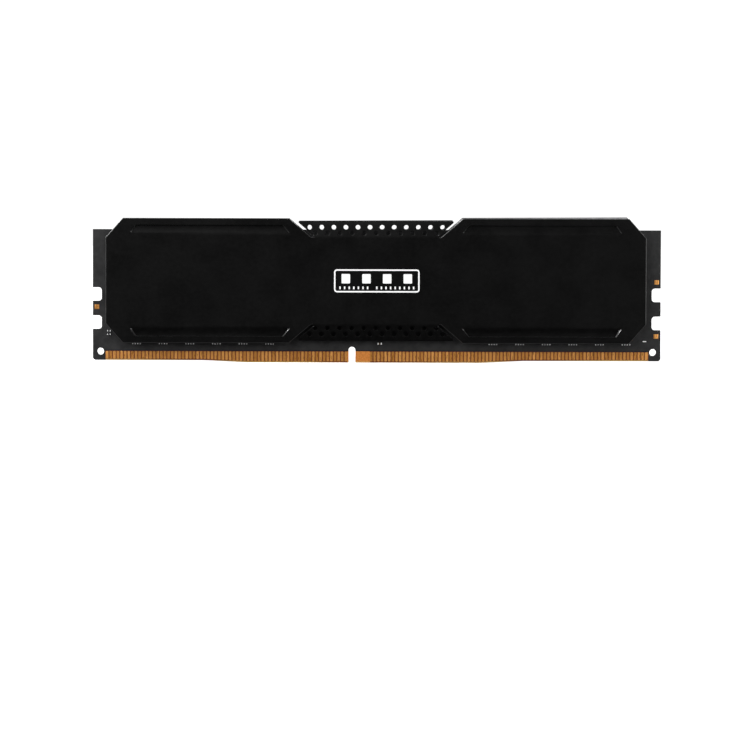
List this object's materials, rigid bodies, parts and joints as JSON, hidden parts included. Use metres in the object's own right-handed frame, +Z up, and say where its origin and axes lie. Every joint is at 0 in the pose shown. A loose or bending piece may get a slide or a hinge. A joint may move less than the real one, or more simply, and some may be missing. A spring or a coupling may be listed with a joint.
{
  "type": "ram module",
  "caption": "Desktop memory module: a black board with gold edge contacts, clasped by two black stamped aluminium heat spreader plates.",
  "frame": {"origin": "middle of the card edge, halfway through the board's thickness", "axes": "+X along the module with the key notch on the -X side, -Y towards the front plate, +Z up from the card edge"},
  "size_m": [0.1334, 0.0073, 0.0343],
  "materials": {
    "board": "black solder mask over glass fibre laminate, satin",
    "gold": "gold plated foil, satin",
    "black_aluminium": "black anodised, fine satin grain",
    "moulded_epoxy": "moulded epoxy, matt",
    "silicone_pad": "filled silicone, matt",
    "black_ceramic": "resistor glaze over ceramic",
    "brown_ceramic": "sintered ceramic, matt",
    "label_paper": "coated label stock, plain"
  },
  "bodies": {
    "root": {"capacitor_edge": "brown_ceramic", "capacitor_supply_1": "brown_ceramic", "capacitor_supply_2": "brown_ceramic", "capacitor_supply_3": "brown_ceramic", "capacitor_supply_4": "brown_ceramic", "contacts_front_left": "gold", "contacts_front_right": "gold", "contacts_rear_left": "gold", "contacts_rear_right": "gold", "heat_spreader_front": "black_aluminium", "heat_spreader_rear": "black_aluminium", "label_rear": "label_paper", "memory_front_1": "moulded_epoxy", "memory_front_2": "moulded_epoxy", "memory_front_3": "moulded_epoxy", "memory_front_4": "moulded_epoxy", "memory_front_5": "moulded_epoxy", "memory_front_6": "moulded_epoxy", "memory_front_7": "moulded_epoxy", "memory_front_8": "moulded_epoxy", "memory_rear_1": "moulded_epoxy", "memory_rear_2": "moulded_epoxy", "memory_rear_3": "moulded_epoxy", "memory_rear_4": "moulded_epoxy", "memory_rear_5": "moulded_epoxy", "memory_rear_6": "moulded_epoxy", "memory_rear_7": "moulded_epoxy", "memory_rear_8": "moulded_epoxy", "pcb": "board", "presence_chip": "moulded_epoxy", "resistor_pair": "black_ceramic", "resistors_front_left_1": "black_ceramic", "resistors_front_left_2": "black_ceramic", "resistors_front_left_3": "black_ceramic", "resistors_front_left_4": "black_ceramic", "resistors_front_left_5": "black_ceramic", "resistors_front_left_6": "black_ceramic", "resistors_front_right_1": "black_ceramic", "resistors_front_right_2": "black_ceramic", "resistors_front_right_3": "black_ceramic", "resistors_front_right_4": "black_ceramic", "resistors_front_right_5": "black_ceramic", "resistors_front_right_6": "black_ceramic", "resistors_rear_left_1": "black_ceramic", "resistors_rear_left_2": "black_ceramic", "resistors_rear_left_3": "black_ceramic", "resistors_rear_left_4": "black_ceramic", "resistors_rear_left_5": "black_ceramic", "resistors_rear_left_6": "black_ceramic", "resistors_rear_right_1": "black_ceramic", "resistors_rear_right_2": "black_ceramic", "resistors_rear_right_3": "black_ceramic", "resistors_rear_right_4": "black_ceramic", "resistors_rear_right_5": "black_ceramic", "resistors_rear_right_6": "black_ceramic", "test_pad_left": "gold", "test_pad_right_lower": "gold", "test_pad_right_upper": "gold", "thermal_pad_front": "silicone_pad", "thermal_pad_rear": "silicone_pad"}
  },
  "joints": []
}
